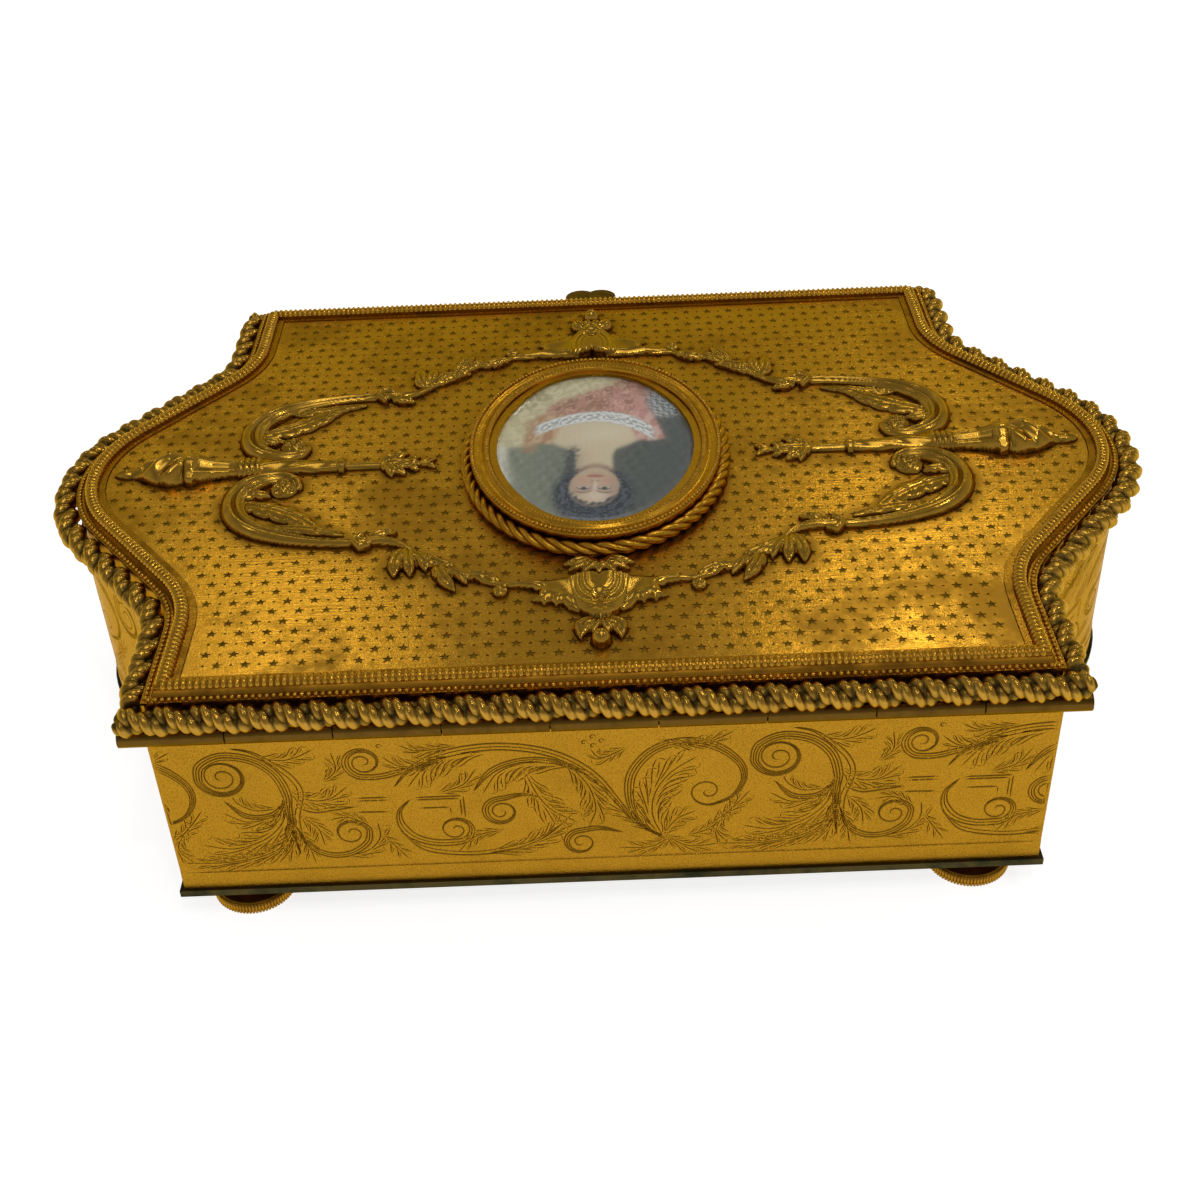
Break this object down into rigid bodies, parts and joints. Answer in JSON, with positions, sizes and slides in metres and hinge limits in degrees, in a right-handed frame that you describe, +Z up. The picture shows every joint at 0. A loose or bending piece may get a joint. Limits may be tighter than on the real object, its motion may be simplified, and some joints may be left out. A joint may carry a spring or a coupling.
{
  "type": "jewelry casket",
  "caption": "Low gilt brass jewelry casket with bracket-shaped ends, a hinged lid with rope border, cast mounts and a glazed oval miniature, and a padded lining.",
  "frame": {"origin": "on the table, below the middle of the closed casket", "axes": "+X along the width from bracket end to bracket end, +Y towards the front with the thumb lift, +Z up from the table"},
  "size_m": [0.261, 0.1818, 0.067],
  "materials": {
    "blackened_brass": "satin",
    "foot_brass": "satin",
    "engraved_brass": "satin",
    "frame_brass": "polished",
    "rope_brass": "satin",
    "stamped_brass": "polished",
    "cast_brass": "satin",
    "hinge_brass": "satin",
    "lining_velvet": "matte",
    "clear_glass": "gloss",
    "painted_plaque": "gloss",
    "backing_card": "matte"
  },
  "bodies": {
    "box": {"base_plate": "blackened_brass", "foot_screws": "hinge_brass", "foot_front_right": "foot_brass", "foot_front_left": "foot_brass", "foot_back_left": "foot_brass", "foot_back_right": "foot_brass", "front_wall": "engraved_brass", "back_wall": "engraved_brass", "right_end_wall": "engraved_brass", "left_end_wall": "engraved_brass", "front_rim": "frame_brass", "right_rim": "frame_brass", "left_rim": "frame_brass", "front_lining": "lining_velvet", "back_lining": "lining_velvet", "right_lining": "lining_velvet", "left_lining": "lining_velvet", "floor_pad": "lining_velvet", "hinge_body_leaf": "hinge_brass", "hinge_pin": "hinge_brass", "hinge_body_rivets": "hinge_brass"},
    "lid": {"front_skirt": "frame_brass", "back_skirt": "frame_brass", "right_skirt": "frame_brass", "left_skirt": "frame_brass", "front_rail": "frame_brass", "back_rail": "frame_brass", "right_rail": "frame_brass", "left_rail": "frame_brass", "thumb_lift": "frame_brass", "front_rope": "rope_brass", "back_rope": "rope_brass", "right_rope": "rope_brass", "left_rope": "rope_brass", "bezel_rope": "rope_brass", "lid_panel": "stamped_brass", "bezel": "cast_brass", "slip_ring": "cast_brass", "right_torch": "cast_brass", "left_torch": "cast_brass", "front_crest": "cast_brass", "back_crest": "cast_brass", "front_right_scroll": "cast_brass", "front_left_scroll": "cast_brass", "back_left_scroll": "cast_brass", "back_right_scroll": "cast_brass", "hinge_lid_leaf": "hinge_brass", "hinge_lid_rivets": "hinge_brass", "mount_nuts": "hinge_brass", "lid_pad": "lining_velvet", "cover_glass": "clear_glass", "miniature_plaque": "painted_plaque", "backing_card": "backing_card"}
  },
  "joints": [
    {"name": "lid_hinge", "type": "hinge", "parent": "box", "child": "lid", "pos_m": [0, -0.086, 0.05245], "axis": [1, 0, 0], "range_deg": [0, 100]}
  ]
}
